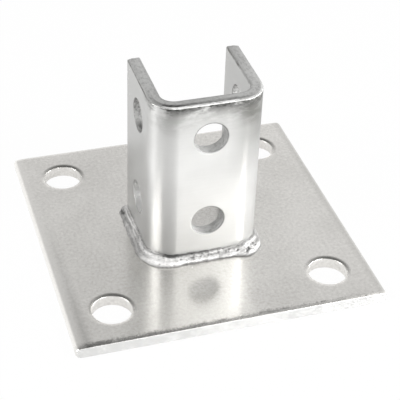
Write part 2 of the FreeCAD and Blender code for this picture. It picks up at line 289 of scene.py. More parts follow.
class ZincColours(bpy.types.PropertyGroup):
    """Colours and polish of the zinc plating, and the colours that paint light and shade on it."""

    plate_bright: colour("Plate bright", "Bright zinc on the plate", (0.92, 0.905, 0.875))
    plate_dull: colour("Plate dull", "Dull zinc on the plate", (0.595, 0.58, 0.555))
    plate_end: colour("Plate end", "Zinc over the sheared ends of the plate", (0.61, 0.61, 0.60))
    socket_bright: colour("Socket bright", "Bright zinc on the socket", (0.64, 0.64, 0.63))
    socket_dull: colour("Socket dull", "Dull zinc on the socket", (0.53, 0.53, 0.52))
    # Punched hole walls: bright burnished metal, partly painted light
    punched: colour("Punched metal", "Bright zinc in the socket's punched holes", (0.86, 0.86, 0.85))
    # The cut lip's colour is a painted highlight on the outer lip of the cut top
    lip: colour("Cut lip", "Bright zinc on the outer lip of the cut top", (0.86, 0.86, 0.85))
    cut_dull: colour("Cut metal", "Dull zinc on the cut top and in torn holes", (0.20, 0.20, 0.195))
    # weld_bright also paints a highlight on the weld's lower face round the left bend
    weld_bright: colour("Weld bright", "Bright zinc on the weld's ridges", (0.82, 0.81, 0.80))
    weld_dull: colour("Weld dull", "Dull zinc in the weld's hollows", (0.24, 0.238, 0.232))
    # Painted shade beside the plate's rolled sides and on its hole rims, and on the socket under its top, low
    # on its web, over its flanges, on its right bend, its inner faces and its rounded cut edges
    painted_shade: colour("Stain", "Stained zinc under the top edge and on edges and rims", (0.16, 0.16, 0.15))
    # Crevice: scuffs on the plate's front and dark specks on the weld, and also painted shade and dark
    # reflections under the socket's top, in its seam and rims, and in the weld's toes, crater, pits and
    # groove
    crevice: colour("Crevice", "Dark metal in seams, pits and the weld's toes", (0.05, 0.05, 0.048))
    plate_roughness: share("Plate roughness", "Roughness of the plate", 0.22)
    socket_roughness: share("Socket roughness", "Roughness of the socket", 0.38)
    weld_roughness: share("Weld roughness", "Roughness of the weld", 0.45)


class StageSettings(bpy.types.PropertyGroup):
    """Camera, floor and light all round."""

    eye: FloatVectorProperty(name="Eye", description="Place of the camera", size=3, subtype="XYZ",
                             unit="LENGTH", default=(-0.1571, -0.4844, 0.4038))
    azimuth: angle("Azimuth", "Turn of the view from straight back", 18.51)
    descent: angle("Descent", "How far the view looks down", 36.97)
    roll: angle("Roll", "Turn of the picture about the view", 2.37)
    lens: FloatProperty(name="Lens", description="Focal length in millimetres", subtype="DISTANCE_CAMERA",
                        default=114.34)
    floor: colour("Floor", "Colour of the floor", (0.9, 0.9, 0.9))
    floor_glow: share("Floor glow", "Share of plain white in what the floor shows", 0.97)
    fill: share("Fill", "Strength of the even light from all round", 0.45)
    overhead: share("Overhead", "Grey of the studio overhead, as metal mirrors it", 0.13)


def add_object(name, data):
    """A new object in the scene."""
    item = bpy.data.objects.new(name, data)
    bpy.context.collection.objects.link(item)
    return item


class Skin:
    """Grids of points and flat caps that are gathered and merged into one closed mesh.

    Each point carries its place on the strip that it was worked out on, and marks from 0 to 1 for its finish
    and for painted light and shade.
    """

    def __init__(self, *marks):
        self.points = []
        self.strip = []
        self.marks = {name: [] for name in marks}
        self.faces = []
        self.count = 0

    def keep(self, points, strip, marks):
        """Stores points with what they carry, and gives the number of the first."""
        first = self.count
        shape = np.shape(points)
        self.points.append(np.reshape(points, (-1, 3)))
        self.strip.append(np.broadcast_to(points if strip is None else strip, shape).reshape(-1, 3))
        for name, kept in self.marks.items():
            kept.append(np.broadcast_to(marks.get(name, 0.0), shape[:-1]).reshape(-1))
        self.count += len(self.points[-1])
        return first

    def add_grid(self, points, strip=None, wrap=False, **marks):
        """Four-sided faces between neighbours of a grid, joined across its last column where it wraps."""
        rows, columns = np.shape(points)[:2]
        index = self.keep(points, strip, marks) + np.arange(rows * columns).reshape(rows, columns)
        if wrap:
            index = np.concatenate([index, index[:, :1]], axis=1)
        corners = (index[:-1, :-1], index[:-1, 1:], index[1:, 1:], index[1:, :-1])
        self.faces += np.stack(corners, axis=-1).reshape(-1, 4).tolist()

    def add_cap(self, ring, strip=None, **marks):
        """One flat face inside a ring of points."""
        first = self.keep(ring, strip, marks)
        self.faces.append(list(range(first, first + len(ring))))

    def make_piece(self, name):
        """Merges points that share a place, turns all faces outwards and gives the finished object."""
        points = np.concatenate(self.points)
        places = np.floor(points / MERGE_STEP + MERGE_SHIFT).astype(np.int64)
        _, first, merged = np.unique(places, axis=0, return_index=True, return_inverse=True)
        merged = merged.reshape(-1)
        faces = [list(dict.fromkeys(merged[face].tolist())) for face in self.faces]
        mesh = bpy.data.meshes.new(name)
        mesh.from_pydata(points[first].tolist(), [], [face for face in faces if len(face) > 2])
        if mesh.validate():
            raise RuntimeError(f"{name} has faces with repeated points")
        strip = np.concatenate(self.strip)[first].astype(np.float32)
        carried = mesh.attributes.new("strip_place", "FLOAT_VECTOR", "POINT")
        carried.data.foreach_set("vector", strip.reshape(-1))
        for mark, kept in self.marks.items():
            values = np.zeros(len(first), np.float32)
            np.maximum.at(values, merged, np.concatenate(kept).astype(np.float32))
            mesh.attributes.new(mark, "FLOAT", "POINT").data.foreach_set("value", values)
        work = bmesh.new()
        work.from_mesh(mesh)
        bmesh.ops.recalc_face_normals(work, faces=work.faces)
        work.to_mesh(mesh)
        work.free()
        mesh.shade_smooth()
        return add_object(name, mesh)


def finish_piece(piece, material, node):
    """Gives a piece its finish and even shading over flats, and puts it in place of its CAD node."""
    piece.data.materials.append(material)
    shading = piece.modifiers.new("Flat faces stay flat", "WEIGHTED_NORMAL")
    shading.weight = 75
    shading.keep_sharp = False
    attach(piece, "root")
    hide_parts(node)


def joined(*parts):
    """Rows of numbers set end to end."""
    return np.concatenate(parts)


def quarter_round():
    """Angles of a quarter turn, and how far out and how deep a circle of radius 1 has gone at each."""
    turn = np.linspace(0.0, QUARTER, ROUND_STEPS + 1)
    return turn, np.sin(turn), 1.0 - np.cos(turn)


def bell(place, middle, width):
    """A bell curve, 1 at its middle and falling off over its width."""
    return np.exp(-((place - middle) / width) ** 2)


def waves(along, parts):
    """The sum of sines along a run, each with its height, its pitch in millimetres and its start."""
    turns = along * 2 * math.pi / MILLIMETRE
    return sum(height * np.sin(turns / pitch + start) for height, pitch, start in parts)


def eased(place, stations, values):
    """Values between stations, with each step eased by a half cosine so that the run has no kinks."""
    stations = np.asarray(stations)
    values = np.asarray(values)
    step = np.clip(np.searchsorted(stations, place) - 1, 0, len(stations) - 2)
    part = np.clip((place - stations[step]) / (stations[step + 1] - stations[step]), 0.0, 1.0)
    return values[step] + (values[step + 1] - values[step]) * (0.5 - 0.5 * np.cos(math.pi * part))


def places_seen_evenly(low, high, gap):
    """Places from low to high along a line that lies gap away from a hole's centre at 0.

    Each place is the gap times the tangent of an angle, and the angles are evenly spaced.
    """
    angles = np.linspace(math.atan2(low, gap), math.atan2(high, gap), HOLE_SIDE_STEPS + 1)
    return gap * np.tan(angles)


def cut_rim(sizes):
    """Profile round the strip's cut edge: how far it stands out, how deep it lies and its turn.

    A quarter ellipse leads from the outer face to a straight sloping land, which climbs to the flat of the
    cut, and another quarter ellipse leads from there to the inner face. The turn goes from 0 on the outer
    face to 1 on the flat and back.
    """
    turn, out, deep = quarter_round()
    turned = turn / QUARTER
    out = joined((sizes.cut_edge - sizes.land_drop) * out,
                 sizes.cut_edge - sizes.land_drop * (1.0 - LAND_CLIMB), sizes.cut_edge * out[::-1])
    deep = joined(sizes.outer_lip * deep, sizes.outer_lip + sizes.land * LAND_CLIMB,
                  sizes.wall - sizes.inner_lip * deep[::-1])
    return out, deep, joined(turned, np.ones(len(LAND_CLIMB)), turned[::-1])


def rolled_rim(sizes):
    """Profile round the rolled edge of the bar: how far it stands out, how deep it lies, and its lean.

    The face first drops along a parabola, and a circle carries on from its slope to the upright edge. The
    same leads back to the underside. The lean is the angle from upright of the face's direction.
    """
    away = np.linspace(0.0, sizes.edge_reach, DROP_STEPS + 1)
    slope = math.atan(2 * sizes.edge_drop / sizes.edge_reach)
    turn = np.linspace(slope, QUARTER, ROUND_STEPS + 1)[1:]
    out = joined(away, sizes.edge_reach + sizes.rolled_edge * (np.sin(turn) - math.sin(slope)))
    deep = joined(sizes.edge_drop * (away / sizes.edge_reach) ** 2,
                  sizes.edge_drop + sizes.rolled_edge * (math.cos(slope) - np.cos(turn)))
    lean = joined(np.arctan(2 * sizes.edge_drop * away / sizes.edge_reach ** 2), turn)
    return (joined(out, out[::-1]), joined(deep, sizes.thickness - deep[::-1]),
            joined(lean, math.pi - lean[::-1]))


def punched_wall(sizes, thickness):
    """Profile of a punched hole: distances from its axis, depths, shares of punched metal and of the rim's
    painted shade.

    A quarter ellipse, as wide as the roll-over, leads from the outer face into a straight burnished land.
    Below it the metal broke away on a slight flare, which ends in a small quarter circle at the inner face.
    """
    turn, out, deep = quarter_round()
    land = LAND_SHARE * thickness
    far_rim = sizes.hole_rim / 2
    flared = sizes.hole_radius + sizes.break_out
    distance = joined(sizes.hole_radius + sizes.roll_over * (1.0 - out),
                      [sizes.hole_radius, flared - FLARE_LEFT * sizes.break_out],
                      flared + far_rim * (1.0 - out[::-1]))
    depth = joined(sizes.hole_rim * deep, [land, land + sizes.hole_rim], thickness - far_rim * deep[::-1])
    punched = joined(LAND_ROUGH * out, [LAND_ROUGH, 1.0], out[::-1])
    # The rim mark, which takes painted shade, peaks half way round the roll-over
    rim = joined(np.sin(2 * turn), np.zeros(2 + len(turn)))
    return distance, depth, punched, rim


def holed_sheet(across, along, centre, wall, thickness):
    """Both faces of a rectangle of sheet and the wall of the round hole through it, as one wrapped grid.

    One parameter goes round the rectangle's outline. The other goes from the outline straight towards the
    hole's centre on the outer face, through the hole by the wall's profile, and back out to the outline on
    the inner face. Gives places in the sheet, depths below its outer face, and shares of punched metal and
    of the rim's painted shade.
    """
    steady = np.ones(HOLE_SIDE_STEPS)
    x = joined(across[:-1], across[-1] * steady, across[:0:-1], across[0] * steady)
    y = joined(along[0] * steady, along[:-1], along[-1] * steady, along[:0:-1])
    offset = np.stack([x, y], axis=1) - centre
    reach = np.linalg.norm(offset, axis=1)
    distance, depth, punched, rim = wall
    outer = reach + (distance[0] - reach) * FACE_SHARES[:, None]
    inner = reach + (distance[-1] - reach) * FACE_SHARES[::-1, None]
    through = np.repeat(distance[:, None], len(reach), axis=1)
    face = np.zeros(len(FACE_SHARES))
    place = centre + joined(outer, through, inner)[..., None] * (offset / reach[:, None])
    profiles = (joined(face, depth, face + thickness), joined(face, punched, face), joined(face, rim, face))
    return place, *(profile[:, None] for profile in profiles)


def build_plate(sizes):
    """The floor plate: four holed quarters, rolled sides and sheared ends.

    Each quarter of both faces is a holed sheet. The rolled sides carry the rolled rim along the bar. At each
    end the bar's whole section shrinks inwards along a quarter ellipse and closes with a flat cap.
    """
    skin = Skin("sheared", "punched", "rim")
    out, deep, lean = rolled_rim(sizes)
    flat_x = sizes.width / 2 - out.max()
    flat_y = sizes.depth / 2 - sizes.roll_over
    hole_x = sizes.hole_across / 2
    hole_y = sizes.hole_along / 2
    half_x = hole_x + places_seen_evenly(-hole_x, flat_x - hole_x, flat_y - hole_y)
    half_y = hole_y + places_seen_evenly(-hole_y, flat_y - hole_y, flat_x - hole_x)
    wall = punched_wall(sizes, sizes.thickness)
    for side in (-1, 1):
        for end in (-1, 1):
            centre = np.array([side * hole_x, end * hole_y])
            place, depth, punched, rim = holed_sheet(np.sort(side * half_x), np.sort(end * half_y), centre,
                                                     wall, sizes.thickness)
            height = np.broadcast_to(sizes.thickness - depth, place.shape[:2])
            away = place - centre
            # The rim's painted shade is strongest on the far side of each anchor hole, and a little all round
            behind = away @ DARK_RIM / np.linalg.norm(away, axis=-1)
            dark = np.clip(DARK_RIM_LEAST + (1.0 - DARK_RIM_LEAST) * behind, 0.0, 1.0)
            skin.add_grid(np.dstack([place, height]), wrap=True, punched=punched, rim=rim * dark)
    all_x = joined(-half_x[:0:-1], half_x)
    all_y = joined(-half_y[:0:-1], half_y)
    for side in (-1, 1):
        x, y = np.meshgrid(side * (flat_x + out), all_y, indexing="ij")
        z = np.broadcast_to((sizes.thickness - deep)[:, None], x.shape)
        skin.add_grid(np.dstack([x, y, z]))
    level = 0 * all_x
    section_x = joined(all_x, flat_x + out[1:-1], all_x[::-1], -flat_x - out[-2:0:-1])
    section_z = sizes.thickness - joined(level, deep[1:-1], level + sizes.thickness, deep[-2:0:-1])
    normal = joined(level, lean[1:-1], level + math.pi, -lean[-2:0:-1])
    turn, forward, inset = (values[:, None] for values in quarter_round())
    x = section_x - sizes.sheared_edge * inset * np.sin(normal)
    z = section_z - sizes.sheared_edge * inset * np.cos(normal)
    for end in (-1, 1):
        y = np.broadcast_to(end * (flat_y + sizes.roll_over * forward), x.shape)
        ring = np.dstack([x, y, z])
        skin.add_grid(ring, wrap=True, sheared=turn / QUARTER)
        skin.add_cap(ring[-1], sheared=1.0)
    return skin.make_piece("rolled_floor_plate")


def web_flat(socket):
    """Length along the strip from the middle of the web to where a bend begins."""
    return socket.width / 2 - socket.bend


def bend_end(socket):
    """Length along the strip from the middle of the web to where a flange's flat begins."""
    return web_flat(socket) + socket.bend * QUARTER


def flange_end(socket):
    """Length along the strip from the middle of the web to where a flange's rounded end begins."""
    return bend_end(socket) + socket.back - socket.front - socket.bend - socket.cut_edge


def bent_strip_plan(sizes, along, depth):
    """Plan place on the bent strip, at a length along its outer face and a depth below that face.

    The length is 0 in the middle of the web. Past the web's flat the place turns about the bend's centre at
    the outer radius less the depth, and past the quarter turn it goes straight back along the flange.
    """
    flat = web_flat(sizes)
    run = np.abs(along)
    turn = np.clip((run - flat) / sizes.bend, 0.0, QUARTER)
    past = np.maximum(run - bend_end(sizes), 0.0)
    x = np.minimum(run, flat) + (sizes.bend - depth) * np.sin(turn)
    y = sizes.front + sizes.bend - (sizes.bend - depth) * np.cos(turn) + past
    return np.sign(along) * x, y


def strip_points(sizes, along, height, depth):
    """Points on the bent strip from lengths along it, heights and depths, with those three beside them."""
    x, y = bent_strip_plan(sizes, along, depth)
    points = np.stack(np.broadcast_arrays(x, y, height), axis=-1)
    return points, np.stack(np.broadcast_arrays(along, height, depth), axis=-1)


def build_socket(sizes):
    """The bent socket: holed flats, two bends, and rounded cut edges round the flange ends and the top.

    Everything is worked out on the strip before bending, as a length along it, a height and a depth, and
    then bent. The cut edge is a rounded rim carried up one flange end, round the corner, along the top and
    down the other end.
    """
    skin = Skin("sheared", "punched", "rim")
    flat = web_flat(sizes)
    start = bend_end(sizes)
    stop = flange_end(sizes)
    flange_hole = start + sizes.flange_axis - sizes.front - sizes.bend
    top = sizes.top - sizes.cut_edge
    gap = sizes.hole_pitch / 2
    lower = sizes.hole_middle - gap
    upper = sizes.hole_middle + gap
    low_z = lower + places_seen_evenly(sizes.foot - lower, gap, flat)
    high_z = upper + places_seen_evenly(-gap, top - upper, flat)
    web = places_seen_evenly(-flat, flat, gap)
    flange = flange_hole + places_seen_evenly(start - flange_hole, stop - flange_hole, gap)
    wall = punched_wall(sizes, sizes.wall)
    for along, middle in ((-flange[::-1], -flange_hole), (web, 0.0), (flange, flange_hole)):
        for height, hole in ((low_z, lower), (high_z, upper)):
            centre = np.array([middle, hole])
            place, depth, punched, rim = holed_sheet(along, height, centre, wall, sizes.wall)
            points, strip = strip_points(sizes, place[..., 0], place[..., 1], depth)
            skin.add_grid(points, strip, wrap=True, punched=punched, rim=rim)
    all_z = joined(low_z, high_z[1:])
    bend = np.linspace(flat, start, BEND_STEPS + 1)
    for along in (-bend[::-1], bend):
        for depth in (0.0, sizes.wall):
            skin.add_grid(*strip_points(sizes, along[None, :], all_z[:, None], depth))
    along_top = joined(-flange[:0:-1], -bend[:0:-1], web, bend[1:], flange[1:])
    corner = quarter_round()[0][1:-1]
    ends = np.ones(len(all_z))
    path_along = joined(-stop * ends, 0 * corner - stop, along_top, 0 * corner + stop, stop * ends)
    path_height = joined(all_z, 0 * corner + top, 0 * along_top + top, 0 * corner + top, all_z[::-1])
    heading = joined(-QUARTER * ends, corner - QUARTER, 0 * along_top, corner, QUARTER * ends)
    out, deep, turned = cut_rim(sizes)
    along = path_along[:, None] + out * np.sin(heading)[:, None]
    height = path_height[:, None] + out * np.cos(heading)[:, None]
    points, strip = strip_points(sizes, along, height, deep[None, :])
    skin.add_grid(points, strip, sheared=turned)
    for end in (0, -1):
        skin.add_cap(points[end], strip[end])
    both_faces = np.array([0.0, sizes.wall])[:, None]
    skin.add_grid(*strip_points(sizes, along_top[None, :], sizes.foot, both_faces))
    return skin.make_piece("bent_socket")


def weld_stop(socket):
    """Length along the weld's root from the middle of the web to where the run was stopped."""
    return socket.width / 2 - STOP_SHARE * socket.bend


def weld_reach(socket):
    """Length along the weld's root from the middle of the web to its end, a quarter turn past the flange."""
    return flange_end(socket) + socket.cut_edge * QUARTER


def weld_path(socket, along):
    """Plan place and heading of the weld's root at a length along it.

    The root follows the socket's outer face, and round each flange end it turns on the cut edge's radius. The
    heading is the angle from straight ahead by which the wall faces to its side.
    """
    stop = flange_end(socket)
    run = np.abs(along)
    bent = np.clip((run - web_flat(socket)) / socket.bend, 0.0, QUARTER)
    corner = np.clip((run - stop) / socket.cut_edge, 0.0, QUARTER)
    x, y = bent_strip_plan(socket, np.clip(along, -stop, stop), 0.0)
    x = x + np.sign(along) * socket.cut_edge * (np.cos(corner) - 1.0)
    y = y + socket.cut_edge * np.sin(corner)
    return x, y, np.sign(along) * (bent + corner)


def weld_legs(weld, socket, along):
    """Leg on the plate and rise up the wall along the weld, and how far it has faded at its ends.

    Both are eased between the web, the bends and the flanges, smaller beside the right flange, with toes that
    wander by a sum of sines. A bell of extra metal stands on the right bend, and both ends run out along a
    quarter ellipse.
    """
    flat = web_flat(socket)
    start = bend_end(socket)
    stop = flange_end(socket)
    run = np.abs(along)
    stations = [0.0, 0.75 * flat, (flat + start) / 2, start, (start + stop) / 2, stop]
    names = ("web", "web", "bend", "side", "side", "end")
    leg, rise = (eased(run, stations, [getattr(weld, f"{name}_{way}") for name in names])
                 for way in ("leg", "rise"))
    lean = eased(along, [0.6 * flat + 0.4 * start, start], [1.0, weld.right_share])
    lump = weld.lump * bell(along, weld_stop(socket), LUMP_LENGTH)
    leg = leg * lean + weld.wander * waves(along, LEG_WAVES) + lump
    rise = rise * lean + weld.wander * waves(along, RISE_WAVES) + lump
    fade_from = stop - WELD_FADE
    gone = np.clip((run - fade_from) / (weld_reach(socket) - fade_from), 0.0, 1.0)
    fade = np.sqrt(np.maximum(1.0 - gone ** 2, WELD_TIP ** 2))
    return leg * fade, rise * fade, fade


def weld_spots(draw, along, across, width, kind, about):
    """Round spots drawn at random on the bead's face: the sum of a bell round each, at most 1.

    Their places along the run are drawn about a middle with a spread, and across it evenly over the width.
    """
    count, middle, spread, cover = kind
    middle = about + (middle + spread * draw.standard_normal(count)) * MILLIMETRE
    aside = draw.uniform(*SPOT_ASIDE, count) * cover * width
    radius = draw.uniform(*SPOT_RADIUS, count) * MILLIMETRE
    spots = bell(along[..., None], middle, radius) * bell(across[..., None], aside, radius)
    return np.minimum(spots.sum(axis=-1), 1.0)


def weld_bulge(weld, along, face):
    """How far the bead's face stands out past a straight one, before its spots and its crater.

    The crown is a parabola. Ripples trail back towards the toes, and ridges run along the bead.
    """
    body = 4 * face * (1 - face)
    beat = along / weld.ripple_pitch + waves(along, BEAT_WAVES)
    ripple = np.abs(np.sin(math.pi * beat + RIPPLE_TRAIL * (2 * face - 1) ** 2))
    ridge = np.sin(RIDGE_TURNS * math.pi * face + waves(along, RIDGE_WAVES))
    return (weld.crown + weld.ridge * ridge) * body + weld.ripple_height * np.sqrt(body) * ripple


def weld_mark(along, face, middle, kind):
    """One dark place on the weld: a bell along it, measured from a middle, times a bell across its face."""
    (place, width), across = kind
    return bell(along, middle + place * MILLIMETRE, width * MILLIMETRE) * bell(face, *across)


def weld_painted_shade(socket, along, face):
    """How much painted shade the weld gets, before its spots and its crater.

    Painted shade falls in the crease of the upper toe, darkest at the web's left end, as a shadow along the
    lower toe, over the lower half beside the left flange, along a groove in the middle and on one dark knot.
    """
    flat = web_flat(socket)
    stations = [-flat - socket.bend, -flat - 0.3 * socket.bend, -0.5 * flat, flat]
    crevice = eased(along, stations, [0.0, 1.0, 0.85, 0.1])
    reach = WELD_TOE * eased(along, stations, [0.6, 1.2, 0.9, 0.6])
    crevice = crevice * np.clip(2.0 - face / reach, 0.0, 1.0)
    side = eased(along, [-bend_end(socket), -flat], [1.0, 0.0])
    toe = (0.75 - 0.6 * side) * np.clip(1.4 - (1.0 - face) / WELD_TOE, 0.0, 1.0)
    lower = 0.5 * side * np.clip(2.4 * face - 1.0, 0.0, 1.0)
    return crevice + toe + lower + 0.3 * bell(face, *GROOVE) + weld_mark(along, face, -flat, KNOT)


def with_root(values, root):
    """A grid over the weld's face with one more column, for its root."""
    return np.column_stack([values, np.full(len(values), root)])


def build_weld(weld, socket):
    """The fillet weld: a three-sided section carried round the socket's foot, and spatter beside it.

    The section's face goes straight from the rise to the leg and bulges. Bells on it make grains all over,
    knobs and pits in the lump on the right bend, and a crater at the left end. Its points carry how much
    painted shade they get, and the lower face round the left bend is marked for a painted highlight.
    """
    reach = weld_reach(socket)
    flat = web_flat(socket)
    along = np.linspace(-reach, reach, int(2 * reach / WELD_STEP) + 1)[:, None]
    face = np.linspace(0.0, 1.0, WELD_FACE_STEPS + 1)[None, :]
    leg, rise, fade = weld_legs(weld, socket, along)
    slant = np.hypot(leg, rise)
    draw = np.random.default_rng(SPOT_SEED)
    kinds = ((PITS, weld_stop(socket)), (KNOBS, weld_stop(socket)), (GRAINS, 0.0), (DOTS, 0.0))
    pits, knobs, grains, dots = (weld_spots(draw, along, face * slant, slant.max(), kind, about)
                                 for kind, about in kinds)
    crater = weld_mark(along, face, -reach, CRATER)
    spots = 2 * np.sqrt(face * (1 - face)) * (weld.knob * knobs + weld.grain * grains - weld.pit * pits)
    bulge = (weld_bulge(weld, along, face) + spots - weld.crater * crater) * fade
    outward = face * leg + bulge * rise / slant
    upward = (1 - face) * rise + bulge * leg / slant
    outward[:, 0] = -WELD_SUNK
    upward[:, -1] = -WELD_SUNK
    outward = with_root(outward, -WELD_SUNK)
    upward = with_root(upward, -WELD_SUNK)
    x, y, heading = weld_path(socket, along)
    points = np.dstack([x + outward * np.sin(heading), y - outward * np.cos(heading), socket.foot + upward])
    # Painted shade also darkens the crater and the pits, and dark dots lie along the web's run
    dull = weld_painted_shade(socket, along, face) + 0.5 * crater + 0.8 * pits + 0.6 * dots
    # Painted highlight on the lower face round the left bend
    stations = [-flat - 1.4 * socket.bend, -flat - 0.6 * socket.bend, -0.4 * flat]
    bright = eased(along, stations, [0.0, 1.0, 0.0]) * np.clip(3.0 * face - 0.6, 0.0, 1.0)
    across = with_root(face * slant, 0.0)
    strip = np.dstack([np.broadcast_to(along, across.shape), across, 0 * across])
    skin = Skin("dull", "bright")
    skin.add_grid(points, strip, wrap=True, dull=with_root(np.clip(dull, 0.0, 1.0), 1.0),
                  bright=with_root(bright, 0.0))
    for end in (0, -1):
        skin.add_cap(points[end], strip[end], dull=1.0)
    for place, away, radius in SPATTER * MILLIMETRE:
        x, y, heading = weld_path(socket, place)
        ground = socket.foot - WELD_SUNK
        add_bead(skin, np.array([x + away * np.sin(heading), y - away * np.cos(heading), ground]), radius)
    return skin.make_piece("fillet_weld")


def add_bead(skin, centre, radius):
    """A drop of spatter: half a ball, a little flattened, whose rings shrink with the cosine of the climb."""
    turn = np.linspace(0.0, 2 * math.pi, BEAD_STEPS, endpoint=False)
    climb = np.linspace(0.0, QUARTER, BEAD_STEPS // 2)[:-1, None]
    ring = radius * np.cos(climb)
    height = np.broadcast_to(BEAD_FLATNESS * radius * np.sin(climb), (len(climb), len(turn)))
    points = centre + np.dstack([ring * np.cos(turn), ring * np.sin(turn), height])
    skin.add_grid(points, wrap=True)
    skin.add_cap(points[0])
    skin.add_cap(points[-1])


class Wire:
    """A node's output that takes part in Python sums, each of which adds its Math node."""

    def __init__(self, bench, socket):
        self.bench = bench
        self.socket = socket

    def sum(self, operation, first, second):
        return self.bench.add("ShaderNodeMath", {"operation": operation}, {0: first, 1: second})

    def __add__(self, other):
        return self.sum("ADD", self, other)

    def __radd__(self, other):
        return self.sum("ADD", other, self)

    def __sub__(self, other):
        return self.sum("SUBTRACT", self, other)

    def __rsub__(self, other):
        return self.sum("SUBTRACT", other, self)

    def __mul__(self, other):
        return self.sum("MULTIPLY", self, other)

    def __rmul__(self, other):
        return self.sum("MULTIPLY", other, self)


class Bench:
    """The node tree of a material or a world, emptied and filled by one method."""

    def __init__(self, owner):
        owner.use_nodes = True
        self.owner = owner
        self.tree = owner.node_tree
        self.tree.nodes.clear()

    def add(self, kind, settings=None, sockets=None, output=0):
        """Adds a node, sets its settings and then its sockets by value or link, and gives one output."""
        node = self.tree.nodes.new(kind)
        for name, value in (settings or {}).items():
            if name == "stops":
                for stop, (position, shade) in zip(node.color_ramp.elements, value):
                    stop.position = position
                    stop.color = (shade, shade, shade, 1.0)
            else:
                setattr(node, name, value)
        for name, value in (sockets or {}).items():
            if isinstance(value, Wire):
                self.tree.links.new(value.socket, node.inputs[name])
            else:
                node.inputs[name].default_value = value
        return Wire(self, node.outputs[output]) if node.outputs else node

    def place(self, kind="Object"):
        """The place on the piece, or the direction in the sky."""
        return self.add("ShaderNodeTexCoord", output=kind)

    def mark(self, name, output="Fac"):
        """A mark that the piece's points carry."""
        return self.add("ShaderNodeAttribute", {"attribute_name": name}, output=output)

    def axis(self, place, name):
        """A place's distance along one axis."""
        return self.add("ShaderNodeSeparateXYZ", None, {0: place}, output=name)

    def distance(self, place, spot):
        """How far a place lies from a spot."""
        return self.add("ShaderNodeVectorMath", {"operation": "DISTANCE"}, {0: place, 1: spot}, "Value")

    def noise(self, place, scale, detail, roughness=0.5, stretch=(1.0, 1.0, 1.0)):
        """Cloudy noise from 0 to 1 at so many clouds a metre, drawn out along an axis by a small stretch."""
        turned = self.add("ShaderNodeMapping", None, {"Vector": place, "Scale": stretch})
        return self.add("ShaderNodeTexNoise", {"noise_dimensions": "3D"},
                        {"Vector": turned, "Scale": scale, "Detail": detail, "Roughness": roughness})

    def ramp(self, value, low, high):
        """A value that climbs from 0 at low to 1 at high."""
        return self.add("ShaderNodeValToRGB", {"stops": ((low, 0.0), (high, 1.0))}, {"Fac": value})

    def mix(self, factor, first, second):
        """A colour between two colours."""
        return self.add("ShaderNodeMix", {"data_type": "RGBA"}, {0: factor, 6: first, 7: second}, output=2)

    def coat(self, base, *coats):
        """A colour under coats of other colours, each given by the share that it covers and its shade."""
        for cover, shade in coats:
            base = self.mix(cover, base, rgba(shade))
        return base


def rgba(shade):
    """A colour with full cover."""
    return (*shade, 1.0)


def zinc_clouds(bench, place, strip, cloud_scale, grain):
    """Soft clouds, fine lines along the rolled strip and fine spangle, each from 0 to 1."""
    clouds = bench.ramp(bench.noise(place, cloud_scale, 4.0, 0.55), 0.3, 0.7)
    lines = bench.noise(strip, 900.0, 2.0, 0.6, grain)
    return clouds, lines, bench.noise(place, *SPANGLE)


def zinc_surface(bench, base, roughness, height, metal, drawn=0.0):
    """Plated metal from its colour, roughness and height, with slow waves as sheet has them.

    Drawn strip has fine lines along it, so its gloss spreads across them, a quarter turn from the lines.
    """
    height = height + 0.5 * bench.noise(bench.place(), *SLOW_WAVES)
    bump = bench.add("ShaderNodeBump", None, {"Strength": 0.1, "Distance": MILLIMETRE, "Height": height})
    shader = bench.add("ShaderNodeBsdfPrincipled", None, {
        "Base Color": base, "Metallic": metal, "Roughness": roughness, "Normal": bump,
        "Anisotropic": drawn, "Anisotropic Rotation": 0.25})
    bench.add("ShaderNodeOutputMaterial", None, {"Surface": shader})
    return bench.owner


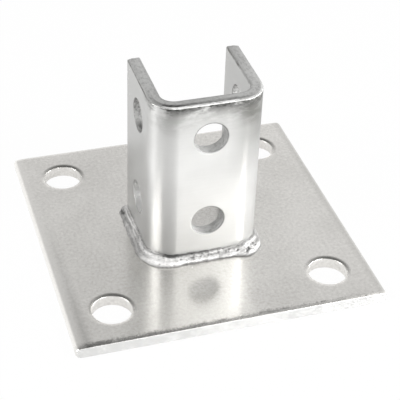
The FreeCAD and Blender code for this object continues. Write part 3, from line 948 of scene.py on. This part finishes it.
def plate_zinc(colours, sizes):
    """Glossy zinc on rolled bar: faint clouds and mottling, a scuffed dark border along the front, painted
    shade beside the rolled sides and on the far side of the hole rims, and a painted highlight on the left
    rolled edge.
    """
    bench = Bench(bpy.data.materials.new("plated_bar"))
    place = bench.place()
    sheared = bench.mark("sheared")
    punched = bench.mark("punched")
    clouds, lines, spangle = zinc_clouds(bench, place, place, 26.0, (1.0, 0.08, 1.0))
    mottle = bench.ramp(bench.noise(place, *MOTTLE), 0.3, 0.7)
    plated = bench.mix(0.35 * clouds + 0.1 * lines + 0.55 * mottle, rgba(colours.plate_dull),
                       rgba(colours.plate_bright))
    across = bench.axis(place, "X")
    along = bench.axis(place, "Y")
    front = sizes.depth / 2
    side = sizes.width / 2
    near = bench.ramp(0.0 - along, *(front - SCUFFED_FRONT))
    flecks = bench.noise(place, *FLECKS)
    scuffs = bench.noise(place, *SCUFFS)
    left = bench.ramp(0.0 - across, 0.0, side)
    right = bench.ramp(across, 0.6 * side, 0.9 * side)
    worn = bench.ramp(0.3 * near + 0.6 * flecks + 0.35 * scuffs + 0.06 * left, 0.66, 0.8) * near
    worn = worn * (1.0 - right) * (1.0 - bench.ramp(sheared, 0.6, 0.9))
    edge = bench.ramp(sheared, 0.1, 0.4) * bench.ramp(0.0 - along, 0.0, front)
    chips = edge * bench.ramp(flecks + 0.5 * scuffs - 0.15 * left, 0.66, 0.76)
    # Painted highlight along the left rolled edge, and painted shade on the faces just inside both rolled
    # sides
    rolled = bench.ramp(0.0 - across, *(side - LEFT_EDGE_HIGHLIGHT))
    shade_left = bench.ramp(0.0 - across, *(side - LEFT_EDGE_SHADE)) * (1.0 - rolled)
    shade_left = shade_left * bench.ramp(0.4 * front - along, 0.1 * front, 1.1 * front)
    shade_right = bench.ramp(across, *(side - RIGHT_EDGE_SHADE))
    end = bench.ramp(sheared, 0.75, 1.0)
    # Over the plating: scuffs, painted shade beside the rolled sides, the painted highlight on the left
    # rolled edge, painted shade on the hole rims, and the sheared ends
    base = bench.coat(plated, (0.85 * worn, colours.crevice),
                      (0.5 * shade_left + 0.3 * shade_right, colours.painted_shade),
                      (0.7 * rolled, colours.plate_bright), (0.8 * bench.mark("rim"), colours.painted_shade),
                      (end, colours.plate_end))
    rough = colours.plate_roughness + 0.06 * (clouds - 0.5) + 0.03 * (mottle - 0.5)
    rough = rough + 0.2 * punched + 0.1 * worn + 0.25 * end
    relief = 0.02 * spangle + 0.01 * lines + 0.08 * (punched * spangle)
    return zinc_surface(bench, base, rough, relief, ZINC_METAL - 0.6 * chips)


def socket_zinc(colours, sizes):
    """Satin zinc on bent strip, with lines along it, and painted shade under the top, low on the web, over
    the flanges and on the right bend.

    Its hole walls are bright, partly as painted light, and in part torn, with painted shade in the upper
    flange holes. The cut top is specked, with a painted highlight on its outer lip and painted dark
    reflections in the seam behind it and on its rounded edges.
    """
    bench = Bench(bpy.data.materials.new("plated_strip"))
    place = bench.place()
    strip = bench.mark("strip_place", "Vector")
    sheared = bench.mark("sheared")
    punched = bench.mark("punched")
    height = bench.axis(place, "Z")
    along = bench.axis(strip, "X")
    depth = bench.axis(strip, "Z")
    clouds, lines, spangle = zinc_clouds(bench, place, strip, 32.0, (0.06, 1.0, 1.0))
    specks = bench.ramp(bench.noise(strip, *CUT_SPECKS), 0.46, 0.62)
    plated = bench.mix(0.5 * clouds + 0.3 * lines + 0.2 * spangle, rgba(colours.socket_dull),
                       rgba(colours.socket_bright))
    web = bench.ramp(0.0 - bench.axis(place, "Y"), *(WEB_FRONT * -sizes.front))
    right = bench.ramp(along, *BEND_SHADE)

    # Painted shade on the faces
    patches = bench.noise(strip, *SHADE_PATCHES)
    for spot_along, below, reach in SHADE_SPOTS:
        spot = bench.distance(strip, (spot_along, sizes.top - below, 0.0))
        patches = patches + 0.34 * (1.0 - bench.ramp(spot, 0.0, reach))
    # Painted shade just under the top edge, in patches round the spots, darkest on the web's outer face
    core = bench.ramp(height, *(sizes.top - SHADE_BORDER)) * bench.ramp(patches, 0.48, 0.62)
    core = core * (0.85 + 0.45 * specks)
    # Softer painted shade further down the web, and painted shade low on the web, over the flanges and on the
    # upper right bend
    smear = bench.ramp(height, *(sizes.top - SHADE_HALO)) * bench.ramp(patches, 0.46, 0.76)
    under = bench.ramp(height, *(sizes.top - GREY_BELOW))
    foot = 1.0 - bench.ramp(height, *(sizes.foot + FOOT_SHADE))
    sides = (1.0 - web) * bench.ramp(height, *(sizes.foot + FLANGE_SHADE))
    bend = right * bench.ramp(height, *(sizes.top - BEND_SHADE_BELOW))
    face = 1.0 - bench.ramp(sheared, 0.0, 0.25)
    outside = 1.0 - bench.ramp(depth, 0.4 * sizes.wall, 0.6 * sizes.wall)
    # All of it painted shade, on the inner faces a flat share, and none on the cut edges or hole walls
    painted_shade = web * (0.45 * smear + 0.17 * under + 0.28 * foot) + 0.2 * sides + 0.68 * bend
    painted_shade = (painted_shade * outside + 0.14 * (1.0 - outside)) * face * (1.0 - punched)

    # Hole walls and cut edges
    gap = sizes.hole_pitch / 4
    # Hole walls get bright punched metal, partly painted light. The web's are darkened by torn metal, the
    # flanges' by painted shade, more in the upper holes than the lower
    walls = bench.ramp(punched, 0.1, 0.4)
    torn = 0.65 * web + (1.0 - web) * bench.ramp(height, sizes.hole_middle - gap, sizes.hole_middle + gap)
    scored = bench.ramp(lines, 0.35, 0.65)
    top = bench.ramp(sheared, 0.8, 1.0)
    cut = bench.ramp(sheared, 0.3, 0.5)
    inward = depth * (1.0 / sizes.wall)
    highlight_end = (sizes.outer_lip + LIP_HIGHLIGHT_SHARE * sizes.land) / sizes.wall
    step = (sizes.outer_lip + sizes.land) / sizes.wall
    # Painted highlight on the outer lip of the cut top, painted dark reflection in the seam behind it, and
    # painted shade along the inner edge
    seam = bench.ramp(inward, highlight_end - 0.03, highlight_end + 0.03)
    lip = bench.ramp(sheared, 0.1, 0.3) * (1.0 - seam) * (1.0 - bench.ramp(0.0 - along, *LIP_LEFT_END))
    lip = web * lip * (1.0 - 0.45 * right) * (0.95 - 0.5 * specks)
    black = bench.distance(strip, (SEAM_BLACK, sizes.top, 0.0))
    black = 1.0 - bench.ramp(black, 0.0, SEAM_BLACK_REACH)
    seam = web * seam * (1.0 - bench.ramp(inward, step + 0.02, step + 0.12)) * (0.4 + 0.85 * black)
    seam = seam * (1.0 - 0.5 * right) * (0.65 + 0.5 * specks)
    inside = bench.ramp(inward, 0.75, 0.87)
    # Painted dark reflection on the rounded cut edges, in patches
    corner = bench.ramp(sheared, 0.02, 0.15) * (1.0 - bench.ramp(sheared, 0.6, 0.9)) * (1.0 - lip)
    corner = corner * (0.2 + 0.75 * bench.ramp(patches, 0.42, 0.62))

    base = bench.coat(plated, (0.7 * walls, colours.punched), (painted_shade, colours.painted_shade),
                      (0.85 * web * core * outside * face, colours.crevice),
                      (top * (0.1 * scored + 0.36 * specks), colours.cut_dull),
                      (walls * torn * (0.4 + 0.55 * specks), colours.cut_dull),
                      (lip, colours.lip), (cut * (seam + 0.2 * inside), colours.crevice),
                      # Painted dark reflection on the rounded cut edges, and painted shade on the bolt holes'
                      # rims
                      (corner, colours.painted_shade), (0.6 * bench.mark("rim"), colours.crevice))
    rough = colours.socket_roughness + 0.08 * (clouds - 0.5) + 0.1 * (spangle - 0.5) + 0.2 * walls
    relief = 0.03 * spangle + 0.02 * lines + 0.12 * (top * scored)
    return zinc_surface(bench, base, rough, relief, ZINC_METAL - 0.45 * punched - 0.8 * lip, drawn=0.6)


def weld_zinc(colours):
    """Zinc over a weld: bright and grainy on the bead, with streaks along it, dark specks, painted shade in
    the toes, crater, pits and groove, and a painted highlight low on the left bend.
    """
    bench = Bench(bpy.data.materials.new("plated_weld"))
    place = bench.place()
    strip = bench.mark("strip_place", "Vector")
    dull = bench.mark("dull")
    clouds, lines, spangle = zinc_clouds(bench, place, strip, 300.0, (0.1, 1.0, 1.0))
    streaks = bench.ramp(lines, 0.38, 0.62)
    plated = bench.mix(0.2 * clouds + 0.55 * streaks + 0.25 * spangle, rgba(colours.weld_dull),
                       rgba(colours.weld_bright))
    specks = bench.ramp(bench.noise(strip, *WELD_SPECKS), 0.54, 0.7)
    # A painted highlight round the left bend, dark specks, and painted shade in the toes, crater, pits and
    # groove
    base = bench.coat(plated, (0.8 * bench.mark("bright"), colours.weld_bright),
                      (0.75 * specks, colours.crevice), (dull, colours.crevice))
    rough = colours.weld_roughness + 0.1 * (clouds - 0.5) + 0.1 * (spangle - 0.5) + 0.2 * dull
    return zinc_surface(bench, base, rough, 0.05 * clouds + 0.25 * streaks + 0.5 * spangle, WELD_METAL)


class STRUTBASE_OT_plate(bpy.types.Operator):
    """Build the zinc-plated floor plate"""

    bl_idname = "strutbase.plate"
    bl_label = "Floor plate"

    def execute(self, context):
        scene = context.scene
        finish = plate_zinc(scene.strut_zinc, scene.strut_plate)
        finish_piece(build_plate(scene.strut_plate), finish, "base_plate")
        return {"FINISHED"}


class STRUTBASE_OT_socket(bpy.types.Operator):
    """Build the bent socket that holds the strut"""

    bl_idname = "strutbase.socket"
    bl_label = "Bent socket"

    def execute(self, context):
        scene = context.scene
        finish = socket_zinc(scene.strut_zinc, scene.strut_socket)
        finish_piece(build_socket(scene.strut_socket), finish, "post_channel")
        return {"FINISHED"}


class STRUTBASE_OT_weld(bpy.types.Operator):
    """Build the fillet weld round the socket's foot"""

    bl_idname = "strutbase.weld"
    bl_label = "Fillet weld"

    def execute(self, context):
        scene = context.scene
        piece = build_weld(scene.strut_weld, scene.strut_socket)
        finish_piece(piece, weld_zinc(scene.strut_zinc), "weld_bead")
        return {"FINISHED"}


def seen_directly(bench):
    """1 for what the camera, a reflection or a clear material shows, and 0 for soft light."""
    camera, glossy, clear = (bench.add("ShaderNodeLightPath", output=f"Is {ray} Ray")
                             for ray in ("Camera", "Glossy", "Transmission"))
    return camera + glossy + clear


def add_lamp(name, place, width, height, power):
    """An oblong soft lamp at a place, turned to the aim."""
    data = bpy.data.lights.new(name, "AREA")
    data.shape = "RECTANGLE"
    data.size = width
    data.size_y = height
    data.energy = power
    lamp = add_object(name, data)
    lamp.location = place
    lamp.rotation_euler = (LAMP_AIM - Vector(place)).to_track_quat("-Z", "Y").to_euler()


class STRUTBASE_OT_stage(bpy.types.Operator):
    """Set the camera, the pale floor and the soft light"""

    bl_idname = "strutbase.stage"
    bl_label = "Stage"

    def execute(self, context):
        settings = context.scene.strut_stage
        context.scene.view_settings.view_transform = "Standard"
        self.add_camera(context.scene, settings)
        self.add_floor(settings)
        self.add_world(context.scene, settings)
        for name, lamp in LAMPS.items():
            add_lamp(name, *lamp)
        return {"FINISHED"}

    def add_camera(self, scene, settings):
        """The camera is turned by its azimuth, tipped down by its descent and rolled about its view."""
        data = bpy.data.cameras.new("photo camera")
        data.lens = settings.lens
        camera = add_object("photo camera", data)
        turned = Matrix.Rotation(-settings.azimuth, 4, "Z")
        tipped = Matrix.Rotation(QUARTER - settings.descent, 4, "X")
        rolled = Matrix.Rotation(settings.roll, 4, "Z")
        camera.matrix_world = Matrix.Translation(settings.eye) @ turned @ tipped @ rolled
        scene.camera = camera

    def add_floor(self, settings):
        """A flat square of floor, just under the plate."""
        sides = ((-1, -1), (1, -1), (1, 1), (-1, 1))
        corners = [(x * FLOOR_HALF, y * FLOOR_HALF, -FLOOR_GAP) for x, y in sides]
        mesh = bpy.data.meshes.new("studio_floor")
        mesh.from_pydata(corners, [], [(0, 1, 2, 3)])
        floor = add_object("studio_floor", mesh)
        bench = Bench(bpy.data.materials.new("pale_floor"))
        paint = bench.add("ShaderNodeBsdfDiffuse", None, {"Color": rgba(settings.floor)})
        glow = bench.add("ShaderNodeEmission", None, {"Strength": 1.0})
        shown = settings.floor_glow * seen_directly(bench)
        surface = bench.add("ShaderNodeMixShader", None, {0: shown, 1: paint, 2: glow})
        bench.add("ShaderNodeOutputMaterial", None, {"Surface": surface})
        mesh.materials.append(bench.owner)

    def add_world(self, scene, settings):
        """White all round and greyer overhead, as metal mirrors it, and an even fill light."""
        scene.world = bpy.data.worlds.new("studio")
        bench = Bench(scene.world)
        direction = bench.place("Generated")
        height = bench.axis(direction, "Z") - OVERHEAD_LEAN * bench.axis(direction, "X")
        backdrop = bench.mix(bench.ramp(height, *OVERHEAD), WHITE, rgba([settings.overhead] * 3))
        fill = bench.add("ShaderNodeBackground", None, {"Color": WHITE, "Strength": settings.fill})
        white = bench.add("ShaderNodeBackground", None, {"Color": backdrop, "Strength": 1.0})
        surface = bench.add("ShaderNodeMixShader", None, {0: seen_directly(bench), 1: fill, 2: white})
        bench.add("ShaderNodeOutputWorld", None, {"Surface": surface})


class STRUTBASE_PT_panel(bpy.types.Panel):
    """Lists the pieces of the strut post base with their sizes"""

    bl_idname = "STRUTBASE_PT_panel"
    bl_label = "Strut post base"
    bl_space_type = "VIEW_3D"
    bl_region_type = "UI"
    bl_category = "Strut base"

    def draw(self, context):
        for operator, group in STEPS:
            box = self.layout.box()
            box.operator(operator.bl_idname)
            sizes = getattr(context.scene, group)
            for name in type(sizes).__annotations__:
                box.prop(sizes, name)
        box = self.layout.box()
        for name in ZincColours.__annotations__:
            box.prop(context.scene.strut_zinc, name)


GROUPS = {
    "strut_plate": PlateSizes,
    "strut_socket": SocketSizes,
    "strut_weld": WeldSizes,
    "strut_zinc": ZincColours,
    "strut_stage": StageSettings,
}
STEPS = (
    (STRUTBASE_OT_plate, "strut_plate"),
    (STRUTBASE_OT_socket, "strut_socket"),
    (STRUTBASE_OT_weld, "strut_weld"),
    (STRUTBASE_OT_stage, "strut_stage"),
)
CLASSES = (*GROUPS.values(), *(operator for operator, _ in STEPS), STRUTBASE_PT_panel)


def register():
    for item in CLASSES:
        bpy.utils.register_class(item)
    for name, group in GROUPS.items():
        setattr(bpy.types.Scene, name, PointerProperty(type=group))


def unregister():
    for name in GROUPS:
        delattr(bpy.types.Scene, name)
    for item in reversed(CLASSES):
        bpy.utils.unregister_class(item)


def main():
    """Builds the pieces and the stage."""
    register()
    bpy.ops.strutbase.plate()
    bpy.ops.strutbase.socket()
    bpy.ops.strutbase.weld()
    bpy.ops.strutbase.stage()


if __name__ == "__main__":
    main()
